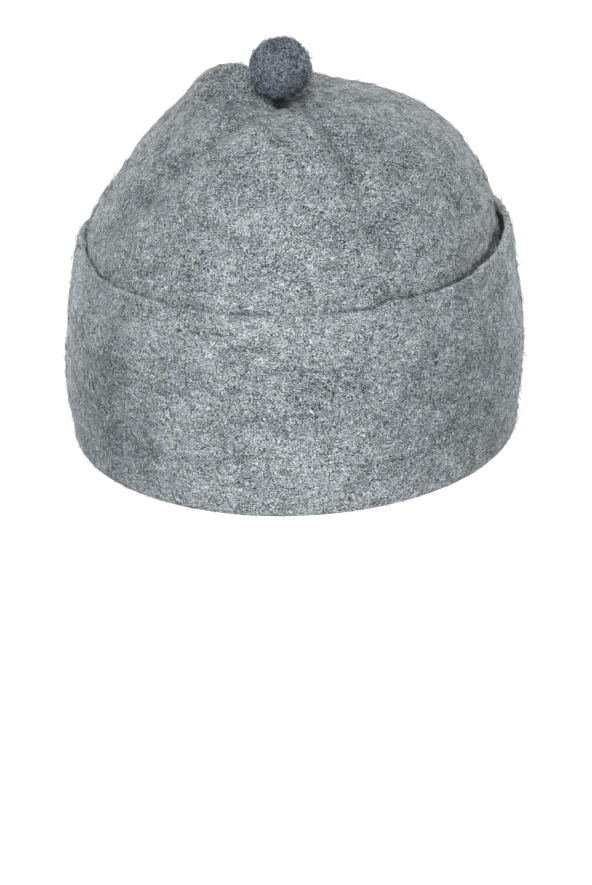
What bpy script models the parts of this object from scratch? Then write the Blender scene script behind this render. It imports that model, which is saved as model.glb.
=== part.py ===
"""Felt cap: a hollow crown gathered at a felted ball, turned up at the rim into a tall cuff.

The cap stands on its rim. +Z is up, the wearer's back is at -Y and the wearer's right is at +X.
Every size below is in millimetres. A turn is an angle about +Z in degrees: 0 at the back,
90 at the right, 180 at the front and 270 at the left.
"""
import math

import bmesh
import bpy
import numpy as np

MM = 0.001

# Felt sheet
FELT_THICKNESS = 2.6
EDGE_ROUNDING = 0.5

# Fineness of the lofted sheet, the ball and the thread
COLUMNS = 60
CROWN_RINGS = 28
FOLD_RINGS = 4
CUFF_RINGS = 7
BALL_SEGMENTS = 20
BALL_RINGS = 14
THREAD_SEGMENTS = 14

# Rim: the fold's lowest line dips below the floor by this much and is pressed flat there
FLATTENED_DEPTH = 0.35

# Ball and the thread that holds it
BALL_DIAMETER = 24.4
BALL_LIFT = 3.0
BALL_LEAN_BACK = 1.0
THREAD_DIAMETER_LOW = 5.0
THREAD_DIAMETER_HIGH = 3.6
SEAM_CLEARANCE = 0.3

# Level rings of the crown's middle surface, from the seat of the ball down to the rim.
# Each reaches so far from its own centre, and may rise towards the right or the front.
CROWN_SECTIONS = [
    # height, back, right, front, left, centre_x, centre_y, rise_right, rise_front
    (128.5, 4.0, 4.0, 4.0, 4.0, -1.0, -15.0, 0.0, 0.0),
    (129.5, 10.0, 10.0, 10.0, 10.0, -1.0, -14.5, 0.0, 0.5),
    (131.5, 19.0, 20.0, 22.0, 19.0, -1.0, -12.0, 0.0, 1.5),
    (131.0, 31.0, 33.0, 36.0, 28.0, -1.0, -8.0, -0.5, 2.0),
    (125.5, 45.0, 48.0, 50.0, 38.5, -1.0, -5.0, -0.5, 2.0),
    (115.5, 60.5, 63.0, 66.0, 49.5, -1.0, -3.5, -0.5, 1.5),
    (102.5, 76.0, 72.0, 80.0, 60.5, -1.0, -2.0, 0.0, 0.5),
    (88.0, 88.5, 77.0, 91.0, 71.5, -0.5, -1.0, 0.0, 0.0),
    (72.0, 97.5, 78.6, 98.0, 77.0, 0.0, 0.0, 0.0, 0.0),
    (48.0, 100.5, 82.5, 101.0, 80.5, 0.0, 0.0, 0.0, 0.0),
    (24.0, 101.5, 82.5, 101.5, 82.5, 0.0, 0.0, 0.0, 0.0),
    (2.9, 100.5, 80.5, 101.0, 81.0, 0.0, 0.0, 0.0, 0.0),
]

# Level rings of the turned-up cuff's middle surface, from the fold up
CUFF_SECTIONS = [
    # height, back, right, front, left
    (2.9, 104.5, 84.0, 105.0, 84.5),
    (24.0, 105.5, 86.4, 105.3, 86.6),
    (50.0, 105.0, 86.4, 105.3, 85.1),
    (79.0, 100.3, 83.0, 101.6, 78.6),
]

# Height of the cuff's free edge round the cap, with a small step right of the back's middle
CUFF_EDGE = [
    # turn, height
    (-180.0, 78.5),
    (-115.0, 78.2),
    (-88.0, 77.2),
    (-72.0, 76.0),
    (-60.0, 74.3),
    (-38.0, 75.2),
    (-18.0, 75.0),
    (12.0, 74.0),
    (18.0, 76.0),
    (25.0, 74.7),
    (40.0, 74.8),
    (52.0, 76.0),
    (70.0, 76.6),
    (85.0, 77.8),
    (115.0, 79.5),
    (180.0, 78.5),
]

# Swells that the crown holds, centred at a turn and at a reach along the felt from the seat
CROWN_SWELLS = [
    # turn, reach, half_width, half_length, rise
    (238.0, 28.0, 14.0, 13.0, 7.4),
    (268.0, 26.0, 12.0, 12.0, 2.5),
    (125.0, 38.0, 26.0, 20.0, -5.2),
    (-4.0, 50.0, 24.0, 32.0, 4.0),
    (-68.0, 58.0, 14.0, 26.0, -1.0),
    (53.0, 80.0, 18.0, 14.0, -1.5),
    (82.0, 75.0, 14.0, 7.0, -1.2),
    (76.0, 103.0, 20.0, 9.0, -0.8),
]

# Creases that run out from the ball, each from one turn and reach to another.
# A crease deepens over the first part of its length and dies out over the last part.
CROWN_CREASES = [
    # start_turn, end_turn, start_reach, end_reach, start_width, end_width, depth
    (26.0, 23.0, 10.0, 102.0, 4.0, 7.0, 2.6),
    (41.0, 40.0, 34.0, 72.0, 4.5, 5.5, 1.2),
    (-20.0, -78.0, 12.0, 106.0, 5.0, 11.0, 2.4),
    (-100.0, -100.0, 12.0, 34.0, 3.0, 4.0, 1.0),
    (160.0, 152.0, 14.0, 78.0, 5.0, 9.0, 1.8),
    (206.0, 204.0, 14.0, 70.0, 5.0, 8.0, 1.6),
    (100.0, 96.0, 14.0, 60.0, 4.5, 7.0, 1.4),
]
CREASE_FADE_IN = 0.12
CREASE_FADE_OUT = 0.35

# Small gathers where the felt is drawn together under the ball
GATHER_COUNT = 9
GATHER_DEPTH = 0.4
GATHER_REACH = 11.0
GATHER_SPREAD = 6.0

# Colours, as linear red, green and blue, and how rough each finish is
GREY_FELT = (0.31, 0.345, 0.355)
SLATE_FELT = (0.125, 0.145, 0.178)
DARK_THREAD = (0.03, 0.04, 0.045)
FELT_ROUGHNESS = 0.95
THREAD_ROUGHNESS = 0.8

# Slab that trims the rim flat
CUTTER_WIDTH = 300
CUTTER_DEPTH = 20


def smooth_rows(rows, places):
    """Rows of a table read between its lines on a smooth curve that passes through every line."""
    rows = np.asarray(rows, float)
    padded = np.vstack([2 * rows[0] - rows[1], rows, 2 * rows[-1] - rows[-2]])
    low = np.clip(np.floor(places).astype(int), 0, len(rows) - 2)
    part = (places - low)[:, None]
    before, start, end, after = (padded[low + step] for step in range(4))
    linear = end - before
    square = 2 * before - 5 * start + 4 * end - after
    cube = 3 * start - before - 3 * end + after
    return start + 0.5 * part * (linear + part * (square + part * cube))


def oval(turns, back, right, front, left):
    """X and Y of an oval made of four quarter ellipses, at each turn."""
    sine = np.sin(turns)
    cosine = np.cos(turns)
    across = np.where(sine >= 0, right, left)
    along = np.where(cosine >= 0, back, front)
    reach = 1 / np.sqrt((sine / across) ** 2 + (cosine / along) ** 2)
    return reach * sine, -reach * cosine


def turn_between(turns, other):
    """The shortest way round from one turn to another, in radians."""
    return (turns - other + math.pi) % (2 * math.pi) - math.pi


def sheet_normals(grid):
    """Unit normals of a grid of points that closes round in its second direction."""
    down = np.gradient(grid, axis=0)
    around = np.roll(grid, -1, axis=1) - np.roll(grid, 1, axis=1)
    normal = np.cross(down, around)
    return normal / np.linalg.norm(normal, axis=2, keepdims=True)


def bell(distance, width):
    """A smooth bump: 1 at the middle, falling to about a third at its width."""
    return np.exp(-(distance / width) ** 2)


def crease_fade(part):
    """0 outside a crease's two ends and 1 along its middle."""
    ends = np.minimum(part / CREASE_FADE_IN, (1 - part) / CREASE_FADE_OUT)
    ends = np.clip(ends, 0, 1)
    return ends * ends * (3 - 2 * ends)


def crown_relief(turns, reach, radius):
    """How far each point of the crown stands out of its plain rings."""
    relief = np.zeros(reach.shape)
    for turn, centre, half_width, half_length, rise in CROWN_SWELLS:
        aside = turn_between(turns, math.radians(turn)) * radius
        relief += rise * bell(aside, half_width) * bell(reach - centre, half_length)
    for start_turn, end_turn, start, end, start_width, end_width, depth in CROWN_CREASES:
        part = (reach - start) / (end - start)
        held = np.clip(part, 0, 1)
        turn = np.radians(start_turn + (end_turn - start_turn) * held)
        width = start_width + (end_width - start_width) * held
        aside = turn_between(turns, turn) * radius
        relief -= depth * bell(aside, width) * crease_fade(part)
    gathers = np.cos(GATHER_COUNT * turns) * bell(reach - GATHER_REACH, GATHER_SPREAD)
    return relief + GATHER_DEPTH * gathers


def crown_rings(turns):
    """The crown's middle surface, ring by ring from the seat of the ball to the rim."""
    places = np.linspace(0, len(CROWN_SECTIONS) - 1, CROWN_RINGS)
    rows = smooth_rows(CROWN_SECTIONS, places)
    height, back, right, front, left, centre_x, centre_y, rise_right, rise_front = (
        rows[:, column, None] for column in range(rows.shape[1]))
    x, y = oval(turns[None, :], back, right, front, left)
    z = height + rise_right * np.sin(turns) - rise_front * np.cos(turns)
    plain = np.stack([x + centre_x, y + centre_y, z], axis=2)
    steps = np.linalg.norm(np.diff(plain, axis=0), axis=2)
    reach = np.hypot(x[0], y[0]) + np.vstack([np.zeros(len(turns)), np.cumsum(steps, axis=0)])
    relief = crown_relief(turns[None, :], reach, np.hypot(x, y))
    relief[[0, -1]] = 0
    return plain + sheet_normals(plain) * relief[:, :, None]


def cuff_rings(turns):
    """The cuff's middle surface, ring by ring from the fold to its free edge."""
    edge = np.asarray(CUFF_EDGE)
    sections = np.asarray(CUFF_SECTIONS)
    around = np.degrees(turn_between(turns, 0))
    top = np.interp(around, edge[:, 0], edge[:, 1])
    climb = np.linspace(0, 1, CUFF_RINGS)[:, None]
    z = sections[0, 0] + (top - sections[0, 0]) * climb
    places = np.interp(z.ravel(), sections[:, 0], np.arange(len(sections)))
    rows = smooth_rows(sections, places).reshape(z.shape + (sections.shape[1],))
    x, y = oval(turns[None, :], rows[..., 1], rows[..., 2], rows[..., 3], rows[..., 4])
    return np.stack([x, y, z], axis=2)


def fold_rings(crown_foot, cuff_foot):
    """The half circle of felt under the rim, from the crown's foot to the cuff's foot."""
    angles = np.linspace(0, math.pi, FOLD_RINGS + 2)[1:-1, None]
    middle = (crown_foot + cuff_foot) / 2
    half = (cuff_foot - crown_foot) / 2
    radius = np.linalg.norm(half, axis=1)
    rings = middle - half * np.cos(angles)[:, :, None]
    rings[:, :, 2] -= radius * np.sin(angles)
    return rings


def felt_sheet():
    """The whole middle surface of the felt, as rings of points in millimetres."""
    turns = np.linspace(0, 2 * math.pi, COLUMNS, endpoint=False)
    crown = crown_rings(turns)
    cuff = cuff_rings(turns)
    fold = fold_rings(crown[-1], cuff[0])
    rings = np.concatenate([crown, fold, cuff])
    lowest = rings[:, :, 2].min() - FELT_THICKNESS / 2
    rings[:, :, 2] -= lowest + FLATTENED_DEPTH
    return rings


def plain_material(name, colour, roughness):
    """A Principled material of one colour."""
    material = bpy.data.materials.new(name)
    material.use_nodes = True
    shader = material.node_tree.nodes["Principled BSDF"]
    shader.inputs["Base Color"].default_value = (*colour, 1)
    shader.inputs["Roughness"].default_value = roughness
    shader.inputs["Metallic"].default_value = 0
    material.diffuse_color = (*colour, 1)
    return material


def new_collection(name):
    """A collection linked to the scene."""
    collection = bpy.data.collections.new(name)
    bpy.context.scene.collection.children.link(collection)
    return collection


def add_object(name, bm, collection):
    """An object made from a bmesh, in the given collection, shaded smooth."""
    mesh = bpy.data.meshes.new(name)
    bm.to_mesh(mesh)
    bm.free()
    mesh.shade_smooth()
    thing = bpy.data.objects.new(name, mesh)
    collection.objects.link(thing)
    return thing


def floor_cutter(collection):
    """A slab under the floor, whose upper face trims the rim flat."""
    bm = bmesh.new()
    bmesh.ops.create_cube(bm, size=1)
    slab = add_object("floor_cutter", bm, collection)
    for vertex in slab.data.vertices:
        vertex.co.x *= CUTTER_WIDTH * MM
        vertex.co.y *= CUTTER_WIDTH * MM
        vertex.co.z = (vertex.co.z - 0.5) * CUTTER_DEPTH * MM
    slab.hide_render = True
    slab.display_type = "WIRE"
    return slab


def cap_body(rings, collection, cutters):
    """Crown and cuff as one piece of felt: a lofted sheet given its thickness."""
    bm = bmesh.new()
    rows = [[bm.verts.new(point * MM) for point in ring] for ring in rings]
    seat = bm.verts.new(rings[0].mean(axis=0) * MM)
    for column in range(COLUMNS):
        after = (column + 1) % COLUMNS
        bm.faces.new([seat, rows[0][column], rows[0][after]])
        for upper, lower in zip(rows, rows[1:]):
            bm.faces.new([upper[column], lower[column], lower[after], upper[after]])
    body = add_object("cap_body", bm, collection)
    body.data.materials.append(plain_material("grey_felt", GREY_FELT, FELT_ROUGHNESS))

    wall = body.modifiers.new("felt thickness", "SOLIDIFY")
    wall.thickness = FELT_THICKNESS * MM
    wall.offset = 0
    wall.use_even_offset = True
    edge = body.modifiers.new("rounded cut edge", "BEVEL")
    edge.width = EDGE_ROUNDING * MM
    edge.segments = 1
    edge.limit_method = "ANGLE"
    edge.angle_limit = math.radians(60)
    trim = body.modifiers.new("flat where it rests", "BOOLEAN")
    trim.operation = "DIFFERENCE"
    trim.solver = "EXACT"
    trim.object = floor_cutter(cutters)
    return body


def top_ball(seat, collection):
    """The felted ball, a little above its seat and leaning to the back."""
    radius = BALL_DIAMETER / 2
    bm = bmesh.new()
    bmesh.ops.create_uvsphere(
        bm,
        u_segments=BALL_SEGMENTS,
        v_segments=BALL_RINGS,
        radius=radius * MM,
    )
    ball = add_object("top_ball", bm, collection)
    ball.data.materials.append(plain_material("slate_felt", SLATE_FELT, FELT_ROUGHNESS))
    top_of_felt = seat[2] + FELT_THICKNESS / 2
    centre = (seat[0], seat[1] - BALL_LEAN_BACK, top_of_felt + BALL_LIFT + radius)
    ball.location = [value * MM for value in centre]
    return ball


def ball_thread(seat, collection):
    """The short neck of wound thread between the felt and the ball."""
    low = seat[2] + FELT_THICKNESS / 2 + SEAM_CLEARANCE
    height = BALL_LIFT - 2 * SEAM_CLEARANCE
    bm = bmesh.new()
    bmesh.ops.create_cone(
        bm,
        cap_ends=True,
        segments=THREAD_SEGMENTS,
        radius1=THREAD_DIAMETER_LOW / 2 * MM,
        radius2=THREAD_DIAMETER_HIGH / 2 * MM,
        depth=height * MM,
    )
    thread = add_object("ball_thread", bm, collection)
    thread.data.set_sharp_from_angle(angle=math.radians(40))
    thread.data.materials.append(plain_material("dark_thread", DARK_THREAD, THREAD_ROUGHNESS))
    thread.location = (seat[0] * MM, seat[1] * MM, (low + height / 2) * MM)
    return thread


def main():
    """Clear the scene, then build the cap and its ball."""
    for thing in list(bpy.data.objects):
        bpy.data.objects.remove(thing)
    parts = new_collection("felt_cap")
    cutters = new_collection("felt_cap_cutters")
    rings = felt_sheet()
    seat = rings[0].mean(axis=0)
    cap_body(rings, parts, cutters)
    top_ball(seat, parts)
    ball_thread(seat, parts)


main()
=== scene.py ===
"""Felt cap: the looks of a grey mottled wool felt cap with a turned-up cuff and a felted ball.

Laid out as an add-on and run as a script. Each surface is worked out with numpy on a grid of
turns round the cap and rings along the felt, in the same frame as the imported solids.
The cap's tables are in millimetres. A turn is an angle about +Z in degrees: 0 at the back (-Y),
90 at the right (+X), 180 at the front and 270 at the left.
"""

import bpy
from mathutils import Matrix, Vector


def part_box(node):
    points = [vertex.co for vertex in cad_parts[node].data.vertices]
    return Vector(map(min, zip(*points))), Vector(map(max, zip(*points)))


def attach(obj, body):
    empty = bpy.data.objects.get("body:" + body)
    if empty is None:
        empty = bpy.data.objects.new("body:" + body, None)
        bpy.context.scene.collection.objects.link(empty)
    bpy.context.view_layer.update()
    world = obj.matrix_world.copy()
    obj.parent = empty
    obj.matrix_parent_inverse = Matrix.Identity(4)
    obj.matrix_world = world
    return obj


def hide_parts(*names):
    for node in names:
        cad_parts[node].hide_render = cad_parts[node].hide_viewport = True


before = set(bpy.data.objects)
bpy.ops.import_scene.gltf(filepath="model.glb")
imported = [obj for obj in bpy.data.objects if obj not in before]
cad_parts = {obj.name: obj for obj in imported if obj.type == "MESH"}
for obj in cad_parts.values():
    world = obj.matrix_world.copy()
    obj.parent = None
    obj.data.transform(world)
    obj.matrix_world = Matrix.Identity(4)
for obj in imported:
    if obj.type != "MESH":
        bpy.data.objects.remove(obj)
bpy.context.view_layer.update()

import math

import bpy
import numpy as np
from mathutils import Matrix, Vector

bl_info = {
    "name": "Felt Cap",
    "version": (1, 0, 0),
    "blender": (4, 5, 0),
    "location": "3D View > Sidebar > Felt Cap",
    "description": "Builds a wool felt cap, its felted ball, its loose fibres and a plain stage",
    "category": "Add Mesh",
}

MM = 0.001
BODY = "root"

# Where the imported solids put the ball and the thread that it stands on, and the gap that they
# keep between them, in mm
THREAD_LOW, THREAD_HIGH = (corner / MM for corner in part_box("ball_thread"))
BALL_LOW, BALL_HIGH = (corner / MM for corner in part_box("top_ball"))
BALL_CENTRE = (BALL_LOW + BALL_HIGH) / 2
BALL_RADIUS = (BALL_HIGH.z - BALL_LOW.z) / 2
SEAM_CLEARANCE = 0.3

# Grid of the felt sheet. The hidden faces keep one ring in HIDDEN_STEP.
COLUMNS = 280
CROWN_RINGS = 151
FOLD_RINGS = 12
CUFF_RINGS = 85
EDGE_RINGS = 7
SEAT_RINGS = 3
HIDDEN_STEP = 3

# Values kept at each point of a mesh, for its material to read
EDGE_VALUE = "over_edge"
PAINTED_SHADOW_VALUE = "edge_shadow"
# The tone holds the wool's patches together with painted light and shade
TONE_AND_PAINTED_SHADE_VALUE = "tone"
TINT_VALUE = "tint"

# The cut edge at the top of the cuff: how far it stands past the sheet, the power that squares
# its rounding, and the height over it that is given to felt nowhere near it
EDGE_HEIGHT = 0.8
EDGE_SQUARENESS = 0.7
FAR_FROM_EDGE = 50.0

# Level rings of the crown's middle surface, from the seat of the ball down to the rim.
# Each reaches so far from its own centre, and may rise towards the right or the front.
CROWN_SECTIONS = [
    # height, back, right, front, left, centre_x, centre_y, rise_right, rise_front
    (128.5, 4.0, 4.0, 4.0, 4.0, -1.0, -15.0, 0.0, 0.0),
    (129.5, 10.0, 10.0, 10.0, 10.0, -1.0, -14.5, 0.0, 0.5),
    (131.5, 19.0, 20.0, 22.0, 19.0, -1.0, -12.0, 0.0, 1.5),
    (131.0, 31.0, 33.0, 36.0, 28.0, -1.0, -8.0, -0.5, 2.0),
    (125.5, 45.0, 48.0, 50.0, 38.5, -1.0, -5.0, -0.5, 2.0),
    (115.5, 60.5, 63.0, 66.0, 49.5, -1.0, -3.5, -0.5, 1.5),
    (102.5, 76.0, 72.0, 80.0, 60.5, -1.0, -2.0, 0.0, 0.5),
    (88.0, 88.5, 77.0, 91.0, 71.5, -0.5, -1.0, 0.0, 0.0),
    (72.0, 97.5, 78.6, 98.0, 77.0, 0.0, 0.0, 0.0, 0.0),
    (48.0, 100.5, 82.5, 101.0, 80.5, 0.0, 0.0, 0.0, 0.0),
    (24.0, 101.5, 82.5, 101.5, 82.5, 0.0, 0.0, 0.0, 0.0),
    (2.9, 100.5, 80.5, 101.0, 81.0, 0.0, 0.0, 0.0, 0.0),
]

# Level rings of the turned-up cuff's middle surface, from the fold up
CUFF_SECTIONS = [
    # height, back, right, front, left
    (2.9, 104.5, 84.0, 105.0, 84.5),
    (24.0, 105.5, 86.4, 105.3, 86.6),
    (50.0, 105.0, 86.4, 105.3, 85.1),
    (79.0, 100.3, 83.0, 101.6, 78.6),
]

# Height of the cuff's free edge round the cap, with a small step right of the back's middle
CUFF_EDGE = [
    # turn, height
    (-180.0, 78.5),
    (-115.0, 78.2),
    (-88.0, 77.2),
    (-72.0, 76.0),
    (-60.0, 74.3),
    (-50.0, 74.4),
    (-38.0, 75.2),
    (-18.0, 75.0),
    (5.0, 74.2),
    (17.4, 73.9),
    (21.0, 76.1),
    (25.5, 74.6),
    (40.0, 74.8),
    (52.0, 76.0),
    (70.0, 76.6),
    (85.0, 77.8),
    (115.0, 79.5),
    (180.0, 78.5),
]

# How dark the painted shade in the gap behind the cuff's edge is, from 0 to 1: the gap is widest at
# the right
PAINTED_EDGE_SHADOWS = [
    # turn, share
    (-180.0, 0.6),
    (-90.0, 0.6),
    (-72.0, 0.75),
    (-58.0, 0.35),
    (-20.0, 0.18),
    (10.0, 0.18),
    (16.0, 0.7),
    (22.0, 0.7),
    (27.0, 0.45),
    (45.0, 0.75),
    (60.0, 1.0),
    (90.0, 1.0),
    (110.0, 0.8),
    (180.0, 0.6),
]

# Small waves in the cut edge
EDGE_WAVES = [
    # waves_round, depth, phase
    (5, 0.22, 0.4),
    (11, 0.16, 2.1),
    (23, 0.12, 4.0),
    (47, 0.08, 1.2),
]

# Swells that the crown holds, centred at a turn and at a reach along the felt from the seat
CROWN_SWELLS = [
    # turn, reach, half_width, half_length, rise
    (238.0, 28.0, 14.0, 13.0, 7.4),
    (228.0, 19.0, 8.0, 8.0, 4.4),
    (268.0, 26.0, 12.0, 12.0, 2.5),
    (125.0, 38.0, 26.0, 20.0, -5.2),
    (-4.0, 50.0, 24.0, 32.0, 4.0),
    (-68.0, 58.0, 14.0, 26.0, -1.0),
    (53.0, 80.0, 18.0, 14.0, -1.5),
    (82.0, 75.0, 14.0, 7.0, -1.2),
    (76.0, 103.0, 20.0, 9.0, -0.8),
]

# Creases that run out from the ball, then two short fine puckers on the swell left of it
CROWN_CREASES = [
    # start_turn, end_turn, start_reach, end_reach, start_width, end_width, depth
    (26.0, 23.0, 10.0, 102.0, 4.0, 7.0, 2.6),
    (41.0, 40.0, 34.0, 72.0, 4.5, 5.5, 1.2),
    (-20.0, -78.0, 12.0, 106.0, 5.0, 11.0, 2.4),
    (84.0, 78.0, 5.0, 30.0, 3.0, 6.0, 2.4),
    (-100.0, -100.0, 12.0, 34.0, 3.0, 4.0, 1.0),
    (160.0, 152.0, 14.0, 78.0, 5.0, 9.0, 1.8),
    (206.0, 204.0, 14.0, 70.0, 5.0, 8.0, 1.6),
    (100.0, 96.0, 14.0, 60.0, 4.5, 7.0, 1.4),
    (-117.0, -106.0, 17.0, 25.0, 1.1, 1.1, 0.45),
    (-105.0, -103.0, 24.0, 31.0, 1.1, 1.1, 0.4),
]

# Shares of a crease's length over which its two ends fade
CREASE_FADE_IN = 0.12
CREASE_FADE_OUT = 0.35

# Lines round the crown where the felt was folded before, and a pucker on the swell by the ball
CROWN_FOLD_LINES = [
    # start_turn, end_turn, start_reach, end_reach, half_width, depth
    (-24.0, 2.0, 76.0, 78.0, 1.8, 0.3),
    (150.0, 196.0, 70.0, 74.0, 2.2, 0.25),
    (-122.0, -101.0, 24.5, 21.0, 0.75, 0.7),
]

# Short upright puckers in the cuff's outer face
CUFF_PUCKERS = [
    # turn, low_height, high_height, half_width, depth
    (7.5, 64.0, 77.0, 0.9, 0.35),
    (17.5, 70.0, 78.5, 1.4, 0.3),
    (203.0, 60.0, 78.0, 1.1, 0.3),
]

# Wide patches where the wool is made darker or paler, centred at a turn and a height. Some are
# painted light and shade: highlights down the cuff's two sides and along its foot, shade on its
# flanks.
WOOL_AND_PAINTED_LIGHT_PATCHES = [
    # turn, height, half_width, half_height, amount
    # painted shade on the cuff's left flank
    (-49.0, 34.0, 27.0, 32.0, -0.2),
    # painted highlight down the cuff's left side
    (-77.0, 38.0, 12.0, 36.0, 0.2),
    (-42.0, 18.0, 24.0, 11.0, -0.07),
    # painted shade on the cuff's right flank
    (41.0, 36.0, 24.0, 28.0, -0.12),
    # painted highlight down the cuff's right side
    (76.0, 36.0, 15.0, 36.0, 0.17),
    (0.0, 69.0, 46.0, 9.0, 0.08),
    # painted light along the foot of the cuff
    (6.0, 7.0, 46.0, 8.0, 0.1),
    (12.0, 108.0, 22.0, 22.0, 0.06),
    (-12.0, 108.0, 14.0, 14.0, 0.05),
    (-56.0, 114.0, 23.0, 17.0, -0.08),
    (-70.0, 132.0, 17.0, 13.0, -0.09),
    (48.0, 100.0, 20.0, 12.0, -0.05),
    (-60.0, 89.0, 11.0, 9.0, -0.15),
    (-46.0, 82.0, 12.0, 6.0, -0.1),
    (150.0, 40.0, 34.0, 24.0, -0.06),
    (-128.0, 56.0, 26.0, 20.0, 0.05),
    (178.0, 104.0, 26.0, 16.0, 0.05),
]

# Painted shade on the crown near the ball, centred at a turn and a reach along the felt from the
# seat
SEAT_PAINTED_SHADES = [
    # turn, reach, half_width, half_length, amount
    (66.0, 13.0, 7.0, 9.0, 0.16),
    (120.0, 12.0, 6.0, 6.0, 0.08),
]

# How much shade is painted for each mm of a crease's or a fold line's depth, how much paler the cut
# edge is, and how much shade is painted round the seat of the ball
CREASE_PAINTED_SHADE = 0.058
FOLD_LINE_PAINTED_SHADE = 0.35
LIP_TONE = 0.08
SEAT_PAINTED_SHADE = 0.2
SEAT_PAINTED_SHADE_REACH = 9.0

# Small gathers where the felt is drawn together under the ball
GATHER_COUNT = 9
GATHER_DEPTH = 0.4
GATHER_REACH = 11.0
GATHER_SPREAD = 6.0

# Uneven places that soft felt has, faded out towards the seat and the rim
RIPPLES = [
    # shortest_wave, longest_wave, number_of_waves, depth
    (26.0, 60.0, 10, 0.3),
    (9.0, 22.0, 16, 0.16),
    (5.0, 9.0, 16, 0.06),
]
RIPPLE_SEED = 11

# Where the unevenness fades: from a share of a height over the rim, and over so many radii of
# the ball's seat
RIPPLE_RIM_HEIGHT = 14.0
RIPPLE_RIM_START = 0.2
RIPPLE_SEAT_RADII = 4.0

# The felted ball: its skin lies inside the solid's, because its loose fibres lie on it
BALL_COLUMNS = 180
BALL_ROWS = 110
BALL_INSET = 1.1
BALL_LIFT = 0.4
BALL_RIPPLES = [
    # shortest_wave, longest_wave, number_of_waves, depth
    (8.0, 16.0, 8, 0.12),
    (2.2, 5.0, 20, 0.07),
]
BALL_SEED = 5

# Painted shade under the ball: how much darker it is underneath, and how fast it darkens from its
# middle down
BALL_PAINTED_UNDER_SHADE = 0.16
BALL_PAINTED_SHADE_SLOPE = 1.1

# The ball's map: where its grid starts and ends both ways, and where its two poles lie
BALL_MAP_AROUND = (0.01, 0.99)
BALL_MAP_DOWN = (0.02, 0.98)
BALL_MAP_POLES = (0.005, 0.995)

# The cap's map for baking, in mm of felt: two discs and three strips on one square
MAP_NAME = "OFBake"
MAP_SIDE = 386.0
DISC_REACH = 101.0
DISC_CENTRE = (102.0, 102.0)
HOLLOW_CENTRE = (294.5, 91.0)
HOLLOW_SCALE = 0.46
CUFF_STRIPS = ((1.0, 206.0), (1.0, 297.0))
CUFF_STRIP_SIZE = (304.0, 88.0)
HIDDEN_STRIP = (307.0, 206.0)
HIDDEN_STRIP_SIZE = (76.0, 178.0)

# Loose fibres: three corners round, turned so that a flat side faces out, and rings at these
# shares of the length. The root is sunk in, the tip droops by a share of its rise, and the
# section tapers.
FIBRE_CORNERS = 3
FIBRE_STATIONS = (0.0, 0.36, 0.72)
FIBRE_SPIN = math.pi / 6
FIBRE_SUNK = 0.12
FIBRE_DROOP = 0.45
FIBRE_TAPER = 0.75

# The share of the fibres that are paler than the middle wool
PALE_SHARE = 0.55

# How the fibres vary: off the level way, in length, in width, and the least curl in radians
FIBRE_WANDER = 0.05
FIBRE_LENGTHS = 0.38
FIBRE_WIDTHS = (0.6, 1.25)
FIBRE_LEAST_CURL = 0.25

# Where the fibres of each piece stand and how they lie. A stretch takes one in so many of the
# piece's fibres. The spread is about the level way, in radians.
FIBRE_GROUPS = {
    "crown_fibres": [
        # stretch, one_in, length_share, most_lift, most_curl, spread
        ("crown", 1, 1.0, 0.5, 2.6, 1.2),
    ],
    "cuff_fibres": [
        ("cuff", 1, 1.0, 0.5, 2.6, 0.6),
    ],
    "rim_fibres": [
        ("edge", 4, 0.55, 0.3, 2.6, 0.8),
        ("fold", 3, 0.7, 0.35, 2.6, 0.8),
        ("hollow", 3, 1.0, 0.5, 2.6, 1.2),
    ],
    "ball_fibres": [
        ("ball", 1, 0.75, 0.5, 2.8, 2.0),
    ],
}
FIBRE_SEEDS = {"crown_fibres": 21, "cuff_fibres": 22, "rim_fibres": 23, "ball_fibres": 31}

# The crown's fibres end at this height, below which the cuff hides them. Those of the cut edge
# stand on so many rings past both its sides. The ball's are thicker by this factor.
CROWN_FIBRES_END = 70.0
EDGE_FIBRES_PAST = 2
BALL_FIBRE_WIDTH = 1.2

# Each fibre's cell of its piece's map: sides between two shares each way, then its two ends
FIBRE_MAP_AROUND = (0.1, 0.9)
FIBRE_MAP_ALONG = (0.2, 0.8)
FIBRE_MAP_TIP = (0.5, 0.95)
FIBRE_MAP_ROOT = (0.05, 0.15)

# The wound thread: a winding drawn in from the solid's width, round a core that narrows upwards
THREAD_RADIUS = 0.34
THREAD_TURNS = 4.5
THREAD_SUNK = 0.9
THREAD_DRAWN_IN = 0.62
THREAD_NARROWING = 0.72
THREAD_CORNERS = 8
THREAD_POINTS = 130
CORE_RINGS = 4
CORE_CORNERS = 32

# A heading that no tube runs along, to turn the tubes' sections from
TUBE_UP = (0.13, 0.07, 1.0)

# Stitches that spread from the winding over the felt, bend as they go, rise and dip into it
STITCHES = [
    # turn, reach
    (-62.0, 4.6),
    (-14.0, 6.8),
    (8.0, 4.4),
    (66.0, 5.0),
    (130.0, 4.8),
    (205.0, 5.2),
    (262.0, 5.0),
]
STITCH_POINTS = 14
STITCH_BEND = 0.35
STITCH_RISE = 0.5
STITCH_DIP = 0.9
STITCH_THICKNESS = 0.8

# Places of the dark, the middle and the pale wool on a colour ramp
RAMP_PLACES = (0.0, 0.5, 1.0)

# The wool's mix in each felt: how fine and how strong its pattern is, and its sheen
WOOL_MIXES = {
    # slot: fineness, contrast, sheen
    "grey_felt": (0.86, 1.12, 0.14),
    "slate_felt": (0.48, 3.8, 0.0),
}

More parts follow.
